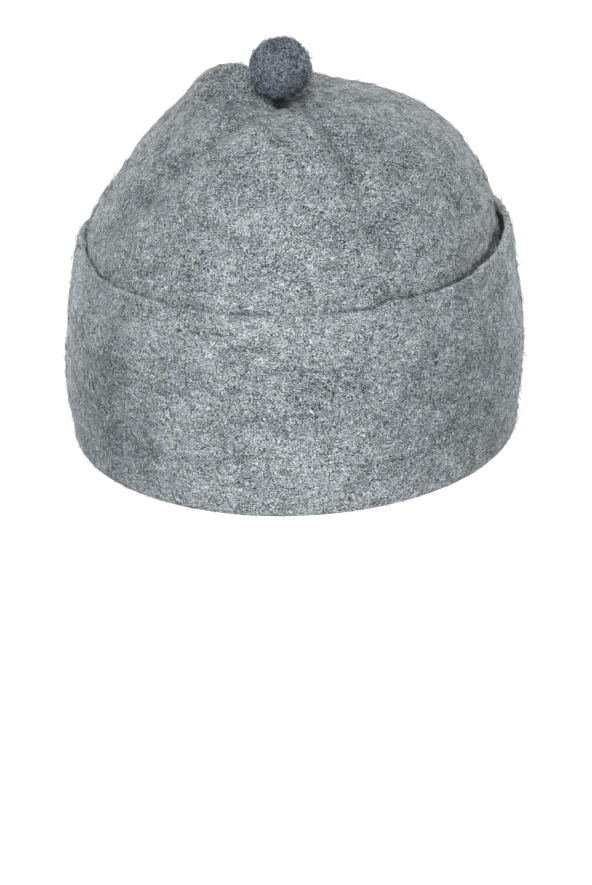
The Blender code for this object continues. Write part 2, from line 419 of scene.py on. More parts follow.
# Curly lines of wool, each along the places where a noise is near its middle value, and kept
# where a second noise, its mask, is high
WOOL_LINES = [
    # feature_mm, half_width, mask_mm, amount, shift
    (1.8, 0.13, 3.6, 0.3, 0.0),
    (1.2, 0.17, 2.8, 0.42, 17.0),
    (1.6, 0.13, 3.4, -0.34, 59.0),
    (1.1, 0.17, 2.6, -0.46, 83.0),
]
NOISE_MIDDLE = 0.5
LINE_SHIFT_WAY = (1.0, 0.7, -0.4)
LINE_ROUGHNESS = 0.55
LINE_MASK = (0.35, 0.6)

# Each line has sides of the other tone, so that lines alone leave the felt's mean tone even
LINE_SIDES = 2.3
LINE_SIDE_SHARE = 0.45

# A noise that bends the lines: its size and how far it moves them, both in mm
WARP_SIZE = 5.0
WARP_REACH = 4.0

# Noises laid over the lines: a fine grain, clumps of wool and wide blotches
WOOL_NOISES = {
    # name: size_mm, detail, roughness, shift, amount
    "grain": (0.62, 1.0, 0.6, (5.0, 9.0, 3.0), 2.6),
    "clump": (4.5, 2.0, 0.5, (31.0, 7.0, 13.0), 0.4),
    "blotch": (14.0, 2.0, 0.5, (71.0, 3.0, 29.0), 0.6),
}

# Clumps where the wool is cooler, then clumps where it is warmer
WOOL_HUES = [
    # size_mm, shift, starts_at, full_at, share, tint
    (7.0, (13.0, 57.0, 5.0), 0.45, 0.65, 0.35, (0.9, 0.92, 1.08, 1.0)),
    (6.0, (3.0, 23.0, 91.0), 0.48, 0.66, 0.28, (1.07, 1.03, 0.93, 1.0)),
]

# Painted shade in the gap behind the cuff's edge: heights over the edge where it starts and is full,
# and its colour
GAP_START_HEIGHT = 0.5
GAP_FULL_HEIGHT = -0.7
PAINTED_GAP_SHADE = (0.16, 0.16, 0.19, 1.0)

# The thread's fine ribs
RIB_SIZE = 0.35
RIB_ROUGHNESS = 0.6
RIB_SHADES = [
    # ramp_place, share_of_colour
    (0.3, 0.5),
    (0.7, 1.9),
]

# Camera, fitted to the photograph's frame
IMAGE_WIDTH = 592.0
IMAGE_HEIGHT = 885.0
FOCAL_PIXELS = 3915.0
SENSOR = 36.0
CAMERA_ELEVATION = 16.7
CAMERA_ROLL = -2.1
CAMERA_DISTANCE = 1500.0
TARGET = (0.0, 0.0, 72.0)
TARGET_PIXEL = (290.0, 244.0)
FURTHEST_SEEN = 100.0

# Lights of the stage, in mm: the key stands by the camera, the others beside and behind the cap
LIGHTS = [
    # name, place, size, power
    ("key", (-110.0, -1590.0, 1190.0), 700.0, "key_power"),
    ("left_side", (-650.0, 960.0, 350.0), 500.0, "side_power"),
    ("right_side", (650.0, 960.0, 350.0), 500.0, "side_power"),
]
FLOOR_DROP = 0.02


def colour_property(name, description, default):
    """A colour that the user may change."""
    return bpy.props.FloatVectorProperty(
        name=name, description=description, default=default, size=3, subtype="COLOR")


class FeltCapFelt(bpy.types.PropertyGroup):
    """Size and colours of the felt."""

    thickness: bpy.props.FloatProperty(
        name="Thickness", description="Thickness of the felt", default=2.6 * MM, unit="LENGTH")
    dark: colour_property("Dark wool", "Darkest wool in the grey mix", (0.018, 0.023, 0.03))
    middle: colour_property("Middle wool", "Commonest wool in the grey mix", (0.184, 0.209, 0.216))
    pale: colour_property("Pale wool", "Palest wool in the grey mix", (0.58, 0.627, 0.64))
    streak: bpy.props.FloatProperty(
        name="Streak", description="How much longer the wool's lines lie across than up and down",
        default=1.6)


class FeltCapBall(bpy.types.PropertyGroup):
    """Colours of the felted ball and of the thread that holds it."""

    dark: colour_property("Dark wool", "Darkest wool in the ball", (0.011, 0.016, 0.027))
    middle: colour_property("Middle wool", "Commonest wool in the ball", (0.087, 0.107, 0.145))
    pale: colour_property("Pale wool", "Palest wool in the ball", (0.415, 0.465, 0.54))
    thread: colour_property("Thread", "Dark sewing thread", (0.03, 0.04, 0.045))


class FeltCapFibres(bpy.types.PropertyGroup):
    """Size and number of the loose fibres."""

    thickness: bpy.props.FloatProperty(
        name="Thickness", description="Thickness of a loose fibre at its root",
        default=0.17 * MM, unit="LENGTH")
    length: bpy.props.FloatProperty(
        name="Length", description="Length of a common loose fibre", default=4.2 * MM, unit="LENGTH")
    crown_count: bpy.props.IntProperty(
        name="On the crown", description="Loose fibres on the crown", default=12300)
    cuff_count: bpy.props.IntProperty(
        name="On the cuff", description="Loose fibres on the cuff", default=12300)
    rim_count: bpy.props.IntProperty(
        name="At the edges", description="Loose fibres at the rim, the cut edge and inside",
        default=9000)
    ball_count: bpy.props.IntProperty(
        name="On the ball", description="Loose fibres on the ball", default=4200)


class FeltCapStage(bpy.types.PropertyGroup):
    """Floor, light and surroundings."""

    floor_width: bpy.props.FloatProperty(
        name="Floor width", description="Width of the plain floor", default=8.0, unit="LENGTH")
    floor_colour: colour_property("Floor", "Colour of the plain floor", (0.22, 0.22, 0.22))
    floor_glow: bpy.props.FloatProperty(
        name="Floor glow", description="Light that the white floor itself gives", default=0.9)
    surroundings: bpy.props.FloatProperty(
        name="Surroundings", description="Strength of the white surroundings", default=0.1)
    key_power: bpy.props.FloatProperty(
        name="Key light", description="Power of the large light behind the camera in watts",
        default=47.0)
    side_power: bpy.props.FloatProperty(
        name="Side lights", description="Power of each light beside and behind the cap in watts",
        default=13.0)


def smooth_rows(rows, places):
    """Rows of a table read between its lines on a smooth curve that passes through every line.

    Between two lines the value is a cubic in the share of the way, set by the lines on both sides.
    """
    rows = np.asarray(rows, float)
    padded = np.vstack([2 * rows[0] - rows[1], rows, 2 * rows[-1] - rows[-2]])
    low = np.clip(np.floor(places).astype(int), 0, len(rows) - 2)
    part = (places - low)[:, None]
    before, start, end, after = (padded[low + step] for step in range(4))
    linear = end - before
    square = 2 * before - 5 * start + 4 * end - after
    cube = 3 * start - before - 3 * end + after
    return start + 0.5 * part * (linear + part * (square + part * cube))


def oval(turns, back, right, front, left):
    """X and Y of an oval made of four quarter ellipses, each with the reach of its two sides."""
    sine = np.sin(turns)
    cosine = np.cos(turns)
    across = np.where(sine >= 0, right, left)
    along = np.where(cosine >= 0, back, front)
    reach = 1 / np.sqrt((sine / across) ** 2 + (cosine / along) ** 2)
    return reach * sine, -reach * cosine


def turn_between(turns, other):
    """The shortest way round from one turn to another, in radians."""
    return (turns - other + math.pi) % (2 * math.pi) - math.pi


def unit(vectors):
    """Vectors divided by their own lengths."""
    return vectors / np.linalg.norm(vectors, axis=-1, keepdims=True)


def sheet_normals(grid):
    """Unit normals of a closed-round grid: the slope down the rings crossed with that round them."""
    down = np.gradient(grid, axis=0)
    around = np.roll(grid, -1, axis=1) - np.roll(grid, 1, axis=1)
    return unit(np.cross(down, around))


def bell(distance, width):
    """A smooth bump: one over e to the square of the distance in widths."""
    return np.exp(-(distance / width) ** 2)


def eased(share):
    """A share held between 0 and 1 and eased at both ends: 3 x squared less 2 x cubed."""
    share = np.clip(share, 0, 1)
    return share * share * (3 - 2 * share)


def add_patches(total, table, turns, along, radius):
    """Adds each row's soft patch to a total, in place.

    A patch is the row's amount times a bell round its turn, along the ring in mm, and a bell
    about its centre the other way.
    """
    for turn, centre, half_width, half_length, amount in table:
        aside = turn_between(turns, math.radians(turn)) * radius
        total += amount * bell(aside, half_width) * bell(along - centre, half_length)


def crease_fade(part):
    """0 outside a crease's two ends and 1 along its middle, eased."""
    return eased(np.minimum(part / CREASE_FADE_IN, (1 - part) / CREASE_FADE_OUT))


def crease_depth(turns, reach, radius):
    """Depth of the crown's creases: a bell across each crease's line, eased at its two ends."""
    depth = np.zeros(reach.shape)
    for start_turn, end_turn, start, end, start_width, end_width, most in CROWN_CREASES:
        part = (reach - start) / (end - start)
        held = np.clip(part, 0, 1)
        turn = np.radians(start_turn + (end_turn - start_turn) * held)
        width = start_width + (end_width - start_width) * held
        aside = turn_between(turns, turn) * radius
        depth += most * bell(aside, width) * crease_fade(part)
    return depth


def fold_line_depth(turns, reach):
    """Depth of the lines that run round the crown: a bell across each, eased at its two ends."""
    depth = np.zeros(reach.shape)
    for start_turn, end_turn, start, end, half_width, most in CROWN_FOLD_LINES:
        part = turn_between(turns, math.radians(start_turn)) / math.radians(end_turn - start_turn)
        middle = start + (end - start) * np.clip(part, 0, 1)
        depth = depth + most * bell(reach - middle, half_width) * crease_fade(part)
    return depth


def crown_relief(turns, reach, radius):
    """How far each point of the crown stands out: bells for swells, less the folds and creases."""
    relief = -crease_depth(turns, reach, radius) - fold_line_depth(turns, reach)
    add_patches(relief, CROWN_SWELLS, turns, reach, radius)
    gathers = np.cos(GATHER_COUNT * turns) * bell(reach - GATHER_REACH, GATHER_SPREAD)
    return relief + GATHER_DEPTH * gathers


def ripple(points, table, seed):
    """Uneven relief at each point: a sum of plane sine waves with seeded headings and phases."""
    draw = np.random.default_rng(seed)
    total = np.zeros(points.shape[:-1])
    for shortest, longest, number, depth in table:
        heading = unit(draw.normal(size=(number, 3)))
        waves = heading * (2 * math.pi / draw.uniform(shortest, longest, (number, 1)))
        phases = draw.uniform(0, 2 * math.pi, number)
        total += np.sin(points @ waves.T + phases).sum(axis=-1) * depth * math.sqrt(2 / number)
    return total


def felt_ripple(points):
    """The cap's uneven relief, eased out towards the rim so that the cap rests level."""
    share = points[..., 2] / RIPPLE_RIM_HEIGHT - RIPPLE_RIM_START
    return ripple(points, RIPPLES, RIPPLE_SEED) * eased(share)


def crown_rings(turns):
    """The crown's middle surface from the seat to the rim, and the shade painted on its wool.

    Each ring is an oval read from the table, moved along its normal by the crown's relief.
    The painted shade grows with a crease's or a fold line's depth, in a bell round the seat of the
    ball, and in patches near it.
    """
    places = np.linspace(0, len(CROWN_SECTIONS) - 1, CROWN_RINGS)
    rows = smooth_rows(CROWN_SECTIONS, places)
    height, back, right, front, left, centre_x, centre_y, rise_right, rise_front = (
        rows[:, column, None] for column in range(rows.shape[1]))
    x, y = oval(turns[None, :], back, right, front, left)
    z = height + rise_right * np.sin(turns) - rise_front * np.cos(turns)
    plain = np.stack([x + centre_x, y + centre_y, z], axis=2)
    steps = np.linalg.norm(np.diff(plain, axis=0), axis=2)
    start = np.hypot(x[0], y[0])
    reach = start + np.vstack([np.zeros(len(turns)), np.cumsum(steps, axis=0)])
    radius = np.hypot(x, y)
    relief = crown_relief(turns[None, :], reach, radius)
    relief[0] = 0
    relief[-1] = 0
    relief += felt_ripple(plain) * eased((reach / start - 1) / RIPPLE_SEAT_RADII)
    # Painted shade in the creases and the fold lines
    shade = CREASE_PAINTED_SHADE * crease_depth(turns[None, :], reach, radius)
    shade += FOLD_LINE_PAINTED_SHADE * fold_line_depth(turns[None, :], reach)
    # Painted shade round the seat of the ball and beside it
    shade += SEAT_PAINTED_SHADE * bell(reach, SEAT_PAINTED_SHADE_REACH)
    add_patches(shade, SEAT_PAINTED_SHADES, turns[None, :], reach, radius)
    return plain + sheet_normals(plain) * relief[:, :, None], shade


def cuff_rings(turns):
    """The cuff's middle surface from the fold to its free edge: ovals at evenly spaced heights."""
    edge = np.asarray(CUFF_EDGE)
    sections = np.asarray(CUFF_SECTIONS)
    top = np.interp(np.degrees(turn_between(turns, 0)), edge[:, 0], edge[:, 1])
    for waves, depth, phase in EDGE_WAVES:
        top += depth * np.sin(waves * turns + phase)
    climb = np.linspace(0, 1, CUFF_RINGS)[:, None]
    z = sections[0, 0] + (top - sections[0, 0]) * climb
    places = np.interp(z.ravel(), sections[:, 0], np.arange(len(sections)))
    rows = smooth_rows(sections, places).reshape(z.shape + (sections.shape[1],))
    x, y = oval(turns[None, :], rows[..., 1], rows[..., 2], rows[..., 3], rows[..., 4])
    plain = np.stack([x, y, z], axis=2)
    return plain - sheet_normals(plain) * felt_ripple(plain)[:, :, None]


def fold_rings(crown_foot, cuff_foot):
    """The half circle of felt under the rim, from the crown's foot to the cuff's foot."""
    angles = np.linspace(0, math.pi, FOLD_RINGS + 2)[1:-1, None]
    middle = (crown_foot + cuff_foot) / 2
    half = (cuff_foot - crown_foot) / 2
    radius = np.linalg.norm(half, axis=1)
    rings = middle - half * np.cos(angles)[:, :, None]
    rings[:, :, 2] -= radius * np.sin(angles)
    return rings


def pucker_depth(turns, points):
    """Depth of the short puckers in the cuff's outer face: bells round an upright line."""
    radius = np.hypot(points[..., 0], points[..., 1])
    depth = np.zeros(radius.shape)
    for turn, low, high, half_width, most in CUFF_PUCKERS:
        aside = turn_between(turns, math.radians(turn)) * radius
        part = (high - points[..., 2]) / (high - low)
        depth += most * bell(aside, half_width) * crease_fade(part)
    return depth


def wool_and_painted_light_tone(points):
    """How much paler than the rest the wool is at each point, painted light and shade included: a
    sum of wide soft patches.
    """
    turns = np.arctan2(points[..., 0], -points[..., 1])
    radius = np.hypot(points[..., 0], points[..., 1])
    tone = np.zeros(radius.shape)
    add_patches(tone, WOOL_AND_PAINTED_LIGHT_PATCHES, turns, points[..., 2], radius)
    return tone


def shrunk_rings(ring, shares):
    """Level rings that close a seat: the given ring drawn in towards its own centre."""
    centre = ring.mean(axis=0)
    level = np.array([ring[:, 0], ring[:, 1], np.full(len(ring), centre[2])]).T
    return np.stack([centre + (level - centre) * share for share in shares])


def cap_surface(thickness):
    """The closed felt wall as one grid, from the top of the seat round every edge to its underside.

    Each face is the middle surface moved half the felt's thickness along its normal. The free
    edge is a rounded square profile, and what would reach below the floor is pressed flat.
    Returns the grid, the rows of each stretch, and the tone at each point, with painted light and
    shade.
    """
    turns = np.linspace(0, 2 * math.pi, COLUMNS, endpoint=False)
    crown, shade = crown_rings(turns)
    cuff = cuff_rings(turns)
    fold = fold_rings(crown[-1], cuff[0])
    rings = np.concatenate([crown, fold, cuff])
    half = thickness / 2
    rings[:, :, 2] += THREAD_LOW.z - SEAM_CLEARANCE - half - crown[0, :, 2].mean()
    normals = sheet_normals(rings)
    upper = rings + normals * half
    lower = rings - normals * half
    cuff_start = CROWN_RINGS + FOLD_RINGS
    dents = pucker_depth(turns[None, :], lower[cuff_start:])
    lower[cuff_start:] += normals[cuff_start:] * dents[:, :, None]

    angles = np.linspace(0, math.pi, EDGE_RINGS + 2)[1:-1]
    over = np.sign(np.cos(angles)) * np.abs(np.cos(angles)) ** EDGE_SQUARENESS
    out = np.sin(angles) ** EDGE_SQUARENESS
    rise = unit(rings[-1] - rings[-2])
    edge = (rings[-1] + normals[-1] * (half * over)[:, None, None]
            + rise * (EDGE_HEIGHT * out)[:, None, None])

    shares = np.arange(1, SEAT_RINGS + 1) / (SEAT_RINGS + 1)
    stretches = {
        "seat": shrunk_rings(upper[0], shares),
        "crown": upper[:CROWN_RINGS],
        "inner_fold": upper[CROWN_RINGS:cuff_start:HIDDEN_STEP],
        "cuff_inside": upper[cuff_start::HIDDEN_STEP],
        "edge": edge,
        "cuff": lower[cuff_start:][::-1],
        "fold": lower[CROWN_RINGS:cuff_start][::-1],
        "hollow": lower[:CROWN_RINGS:HIDDEN_STEP][::-1],
        "seat_underside": shrunk_rings(lower[0], shares[::-1]),
    }
    grid = np.concatenate(list(stretches.values()))
    grid[:, :, 2] = np.maximum(grid[:, :, 2], 0)
    ends = np.cumsum([len(stretch) for stretch in stretches.values()])
    rows = {name: (end - len(stretches[name]), end) for name, end in zip(stretches, ends)}
    tone = wool_and_painted_light_tone(grid)
    # Painted shade on the crown: its creases, fold lines and the seat of the ball
    tone[slice(*rows["crown"])] -= shade
    tone[slice(*rows["edge"])] += LIP_TONE
    return grid, rows, tone


def ring_faces(rows, columns):
    """Quads between neighbouring rings of a grid that closes round."""
    row = np.arange(rows - 1)[:, None] * columns
    column = np.arange(columns)[None, :]
    after = (column + 1) % columns
    quads = np.stack([row + column, row + columns + column, row + columns + after, row + after], -1)
    return quads.reshape(-1, 4)


def pole_faces(pole, row, columns, first):
    """The fan of triangles that closes the first or the last ring of a grid at a pole."""
    column = row * columns + np.arange(columns)
    after = row * columns + (np.arange(columns) + 1) % columns
    fan = np.stack([np.full(columns, pole), column, after], -1)
    return fan if first else fan[:, ::-1]


def add_object(name, data):
    """A new object in the scene's own collection."""
    made = bpy.data.objects.new(name, data)
    bpy.context.scene.collection.objects.link(made)
    return made


def new_piece(name, points, face_arrays, corner_maps=None, values=None):
    """A smooth piece from points in mm, arrays of triangles or quads, its map and named values."""
    mesh = bpy.data.meshes.new(name)
    mesh.vertices.add(len(points))
    mesh.vertices.foreach_set("co", (np.asarray(points) * MM).astype(np.float32).ravel())
    totals = np.concatenate([np.full(len(faces), faces.shape[1]) for faces in face_arrays])
    corners = np.concatenate([faces.ravel() for faces in face_arrays])
    mesh.loops.add(len(corners))
    mesh.loops.foreach_set("vertex_index", corners.astype(np.int32))
    mesh.polygons.add(len(totals))
    starts = np.concatenate([[0], np.cumsum(totals)[:-1]])
    mesh.polygons.foreach_set("loop_start", starts.astype(np.int32))
    if corner_maps is not None:
        layer = mesh.uv_layers.new(name=MAP_NAME)
        places = np.concatenate([places.reshape(-1, 2) for places in corner_maps])
        layer.uv.foreach_set("vector", places.astype(np.float32).ravel())
    for value_name, numbers in (values or {}).items():
        attribute = mesh.attributes.new(value_name, "FLOAT", "POINT")
        attribute.data.foreach_set("value", np.asarray(numbers, np.float32))
    mesh.update(calc_edges=True)
    if mesh.validate():
        raise RuntimeError(f"{name} had faces that Blender could not use")
    mesh.shade_smooth()
    piece = add_object(name, mesh)
    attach(piece, BODY)
    return piece


def grid_corners(values, next_values):
    """Values at the four corners of every quad of a grid, from those at its columns' two sides."""
    return np.stack([values[:-1], values[1:], next_values[1:], next_values[:-1]], axis=2)


def disc_map(reach, centre, scale):
    """Map of a round stretch: reach from the pole laid out at its turn round the disc's centre."""
    turns = np.linspace(0, 2 * math.pi, reach.shape[1], endpoint=False)
    x = centre[0] + reach * scale * np.sin(turns)
    y = centre[1] - reach * scale * np.cos(turns)
    places = np.stack([x, y], axis=2)
    return grid_corners(places, np.roll(places, -1, axis=1))


def strip_map(along, columns, corners, size, upright=False):
    """Map of a stretch round the cap as one or more strips side by side, each with its own corner.

    A strip runs round the cap one way and along the felt the other.
    """
    per_strip = columns // len(corners)
    column = np.arange(columns)
    starts = np.asarray(corners)[column // per_strip]
    share = (along - along[0]) / (along[-1] - along[0])

    def places(step):
        """The map's places at the near side of every column, or with a step at its far side."""
        around = (column % per_strip + step) / per_strip
        both = np.broadcast_arrays(around[None, :], share[:, None])
        first, second = reversed(both) if upright else both
        x = starts[None, :, 0] + size[0] * first
        y = starts[None, :, 1] + size[1] * second
        return np.stack([x, y], axis=2)

    return grid_corners(places(0), places(1))


def cap_map(grid, rows):
    """The cap's whole map, one place for each face corner, with its discs and strips apart."""
    steps = np.linalg.norm(np.diff(grid, axis=0), axis=2)
    down = np.vstack([np.zeros(COLUMNS), np.cumsum(steps, axis=0)])
    up = down[-1] - down
    mean_down = down.mean(axis=1)
    start = np.linalg.norm(grid[0] - grid[0].mean(axis=0), axis=1)
    disc_end = int(np.searchsorted(mean_down, DISC_REACH - start.mean()))
    strip_start = rows["edge"][0] - 1
    hollow_start = rows["hollow"][0] - 1
    parts = [
        disc_map(down[:disc_end] + start, DISC_CENTRE, 1.0),
        strip_map(mean_down[disc_end - 1:strip_start + 1], COLUMNS, [HIDDEN_STRIP],
                  HIDDEN_STRIP_SIZE, upright=True),
        strip_map(mean_down[strip_start:hollow_start + 1], COLUMNS, CUFF_STRIPS, CUFF_STRIP_SIZE),
        disc_map(up[hollow_start:] + start, HOLLOW_CENTRE, HOLLOW_SCALE),
    ]
    quads = np.concatenate([part.reshape(-1, 4, 2) for part in parts])
    top = np.broadcast_to(DISC_CENTRE, (COLUMNS, 2))
    under = np.broadcast_to(HOLLOW_CENTRE, (COLUMNS, 2))
    first = parts[0][0]
    last = parts[3][-1]
    top_fan = np.stack([top, first[:, 0], first[:, 3]], axis=1)
    under_fan = np.stack([last[:, 2], last[:, 1], under], axis=1)
    return [quads / MAP_SIDE, top_fan / MAP_SIDE, under_fan / MAP_SIDE]


def closed_parts(grid, first_point=0):
    """Points, side quads and end fans of a grid of rings, closed at both ends by a pole.

    Each pole lies in the middle of its ring, and the points count from a given number.
    """
    rows, columns = grid.shape[:2]
    points = np.concatenate([grid.reshape(-1, 3), grid[:1].mean(axis=1), grid[-1:].mean(axis=1)])
    fans = np.concatenate([
        pole_faces(rows * columns, 0, columns, True),
        pole_faces(rows * columns + 1, rows - 1, columns, False),
    ])
    return points, ring_faces(rows, columns) + first_point, fans + first_point


def closed_piece(name, grid, corner_maps, values):
    """A piece from one closed grid. Each pole takes the values of its ring's first point."""
    points, quads, fans = closed_parts(grid)
    values = {value_name: np.append(numbers.ravel(), [numbers[0, 0], numbers[-1, 0]])
              for value_name, numbers in values.items()}
    return new_piece(name, points, [quads, fans], corner_maps, values)


def height_over_edge(grid, rows):
    """How far each point of the crown lies above the cuff's edge at its own turn, in mm."""
    edge = grid[slice(*rows["edge"])][:, :, 2].max(axis=0)
    height = np.full(grid.shape[:2], FAR_FROM_EDGE)
    first, last = rows["crown"][0], rows["cuff_inside"][1]
    height[first:last] = grid[first:last, :, 2] - edge
    return height


def edge_shadow(grid):
    """How dark the painted shade in the gap behind the cuff's edge is at each point's turn, read
    from the table.
    """
    shadows = np.asarray(PAINTED_EDGE_SHADOWS)
    turns = np.degrees(np.arctan2(grid[..., 0], -grid[..., 1]))
    return np.interp(turns, shadows[:, 0], shadows[:, 1])


def scatter(grid, count, draw):
    """Places spread evenly over a grid: quads drawn by their area, then a place inside each."""
    normals = sheet_normals(grid)
    across = np.roll(grid, -1, axis=1)
    area = np.linalg.norm(np.cross(grid[1:] - grid[:-1], across[:-1] - grid[:-1]), axis=2)
    chances = np.cumsum(area.ravel()) / area.sum()
    row, column = np.unravel_index(np.searchsorted(chances, draw.random(count)), area.shape)
    after = (column + 1) % grid.shape[1]
    down, side = draw.random((2, count, 1))

    def between(values):
        """Values of the grid at each place, shared out between its quad's four corners."""
        left = values[row, column] * (1 - down) + values[row + 1, column] * down
        right = values[row, after] * (1 - down) + values[row + 1, after] * down
        return left * (1 - side) + right * side

    return between(grid), unit(between(normals))


def fibre_points(roots, normals, headings, lengths, widths, lifts, curls):
    """Thin closed fibres: each an arc in the felt's plane that lifts off it and tapers to a tip.

    At a share s of its length a fibre has turned by curl x s, so it lies forward by sine over
    curl and aside by one less cosine over curl. It has risen by lift x s, less its droop, which
    grows with the square of s. Its section is a triangle whose size falls as a square root.
    """
    sides = np.cross(normals, headings)
    shares = np.array(FIBRE_STATIONS + (1.0,))[None, :]
    angle = curls[:, None] * shares
    forward = (np.sin(angle) / curls[:, None])[:, :, None]
    aside = ((1 - np.cos(angle)) / curls[:, None])[:, :, None]
    rise = lifts[:, None] * shares * (1.0 - FIBRE_DROOP * shares)
    height = rise[:, :, None] * lengths[:, None, None]
    path = roots[:, None] + lengths[:, None, None] * (
        headings[:, None] * forward + sides[:, None] * aside)
    path = path + normals[:, None] * (height - FIBRE_SUNK)
    cosine = np.cos(angle)[:, :, None]
    sine = np.sin(angle)[:, :, None]
    wide = sides[:, None] * cosine - headings[:, None] * sine
    taper = np.sqrt(1 - shares[:, :-1] * FIBRE_TAPER) / 2 * widths[:, None]
    spin = 2 * math.pi * (np.arange(FIBRE_CORNERS) / FIBRE_CORNERS) + FIBRE_SPIN
    rings = path[:, :-1, None] + taper[:, :, None, None] * (
        wide[:, :-1, None] * np.cos(spin)[:, None] + normals[:, None, None] * np.sin(spin)[:, None])
    return np.concatenate([rings.reshape(len(roots), -1, 3), path[:, -1:]], axis=1)


def fibre_faces(count):
    """Quads along each fibre's sides, then the triangles at its tip and its root."""
    corners = FIBRE_CORNERS
    stations = len(FIBRE_STATIONS)
    per_fibre = corners * stations + 1
    first = np.arange(count)[:, None, None] * per_fibre
    quads = ring_faces(stations, corners)[:, ::-1]
    tip = pole_faces(per_fibre - 1, stations - 1, corners, False)[:, ::-1]
    root = np.array([[0, 2, 1]])
    return [(quads + first).reshape(-1, 4), (np.concatenate([tip, root]) + first).reshape(-1, 3)]


def fibre_maps(count):
    """Each fibre's own cell of a square map: its sides as a strip, its ends below and above."""
    cells = math.ceil(math.sqrt(count))
    number = np.arange(count)
    low = np.stack([number % cells, number // cells], axis=1) / cells
    along = np.linspace(*FIBRE_MAP_ALONG, len(FIBRE_STATIONS))[:, None]
    around = np.linspace(*FIBRE_MAP_AROUND, FIBRE_CORNERS + 1)
    places = np.stack(np.broadcast_arrays(around[None, :], along), axis=2)
    quads = grid_corners(places[:, :-1], places[:, 1:])[..., ::-1, :].reshape(-1, 4, 2)
    top = FIBRE_MAP_ALONG[1]
    tip = np.array([[(start, top), (end, top), FIBRE_MAP_TIP]
                    for start, end in zip(around[:-1], around[1:])])
    low_side, high_side = FIBRE_MAP_ROOT
    root = np.array([[(around[0], low_side), (around[-1], low_side), (FIBRE_MAP_TIP[0], high_side)]])
    ends = np.concatenate([tip, root])
    return [(low[:, None, None] + part / cells).reshape(-1, 2) for part in (quads, ends)]


def either_side(draw, shape):
    """1 or -1 at each place, by an even draw."""
    return np.where(draw.random(shape) < 0.5, -1, 1)


def fibre_piece(name, stretches, count, usual_length, width):
    """One piece of loose fibres, from the stretches of felt that its rows of the table name.

    A fibre heads along the level way, either way round, turned off it by a normal draw times the
    spread. Its length is the usual one times e to a normal draw, its lift goes with the square of
    an even draw, and it curls to either side. Its tint is the middle one, moved to the dark or
    the pale side by the root of an even draw, and with the patch that it stands on, painted light
    and shade included.
    """
    draw = np.random.default_rng(FIBRE_SEEDS[name])
    upwards = np.array([0.0, 0.0, 1.0])
    blocks = []
    tints = []
    for stretch, one_in, length_share, most_lift, most_curl, spread in FIBRE_GROUPS[name]:
        number = count // one_in
        roots, normals = scatter(stretches[stretch], number, draw)
        level_way = np.cross(normals, upwards) + FIBRE_WANDER * draw.normal(size=normals.shape)
        level_way -= normals * (level_way * normals).sum(axis=1, keepdims=True)
        level_way = unit(level_way) * either_side(draw, (number, 1))
        cross_way = np.cross(normals, level_way)
        off_level = draw.normal(0, 1, (number, 1)) * spread
        headings = unit(level_way * np.cos(off_level) + cross_way * np.sin(off_level))
        lengths = usual_length * length_share * np.exp(draw.normal(0, FIBRE_LENGTHS, number))
        widths = width * draw.uniform(*FIBRE_WIDTHS, number)
        lifts = most_lift * draw.random(number) ** 2
        curls = draw.uniform(FIBRE_LEAST_CURL, most_curl, number)
        curls *= either_side(draw, number)
        blocks.append(fibre_points(roots, normals, headings, lengths, widths, lifts, curls))
        away = np.sqrt(draw.random(number)) / 2
        pale = draw.random(number) < PALE_SHARE
        tints.append(RAMP_PLACES[1] + np.where(pale, away, -away) + wool_and_painted_light_tone(roots))
    points = np.concatenate(blocks)
    above = points[:, :, 2].min(axis=1) > 0
    points = points[above]
    kept = len(points)
    tints = np.repeat(np.concatenate(tints)[above], points.shape[1])
    return new_piece(name, points.reshape(-1, 3), fibre_faces(kept), fibre_maps(kept),
                     {TINT_VALUE: tints})


def ball_surface():
    """The felted ball: a ring of columns for each angle from top to bottom, with an uneven skin.

    Returns its grid and the tone of its wool, with shade painted underneath.
    """
    polar = np.linspace(0, math.pi, BALL_ROWS + 2)[1:-1, None]
    turns = np.linspace(0, 2 * math.pi, BALL_COLUMNS, endpoint=False)[None, :]
    way = np.stack(np.broadcast_arrays(
        np.sin(polar) * np.sin(turns), -np.sin(polar) * np.cos(turns), np.cos(polar)), axis=2)
    skin = BALL_RADIUS - BALL_INSET + ripple(way * BALL_RADIUS, BALL_RIPPLES, BALL_SEED)
    centre = np.array(BALL_CENTRE) + (0, 0, BALL_LIFT)
    # Painted shade, darker towards the bottom of the ball
    tone = -BALL_PAINTED_UNDER_SHADE * eased(-way[:, :, 2] * BALL_PAINTED_SHADE_SLOPE)
    return centre + way * skin[:, :, None], tone


def ball_map():
    """The ball's map: turns across and the angle from the top up and down."""
    down = np.linspace(*BALL_MAP_DOWN, BALL_ROWS)[:, None]
    around = np.linspace(*BALL_MAP_AROUND, BALL_COLUMNS + 1)[None, :]
    places = np.stack(np.broadcast_arrays(around, down), axis=2)
    quads = grid_corners(places[:, :-1], places[:, 1:])
    middle = (around[0, :-1] + around[0, 1:]) / 2
    top, under = (np.stack([middle, np.full(BALL_COLUMNS, pole)], axis=1) for pole in BALL_MAP_POLES)
    top_fan = np.stack([top, quads[0, :, 0], quads[0, :, 3]], axis=1)
    under_fan = np.stack([quads[-1, :, 2], quads[-1, :, 1], under], axis=1)
    return [quads, top_fan, under_fan]


def tube_rings(path, radii, corners):
    """A round section carried along a path: rings square to it, each turned from one heading."""
    way = unit(np.gradient(path, axis=0))
    first = unit(np.cross(way, np.array(TUBE_UP)))
    second = np.cross(way, first)
    spin = np.linspace(0, 2 * math.pi, corners, endpoint=False)
    return path[:, None] + radii[:, None, None] * (
        first[:, None] * np.cos(spin)[:, None] - second[:, None] * np.sin(spin)[:, None])


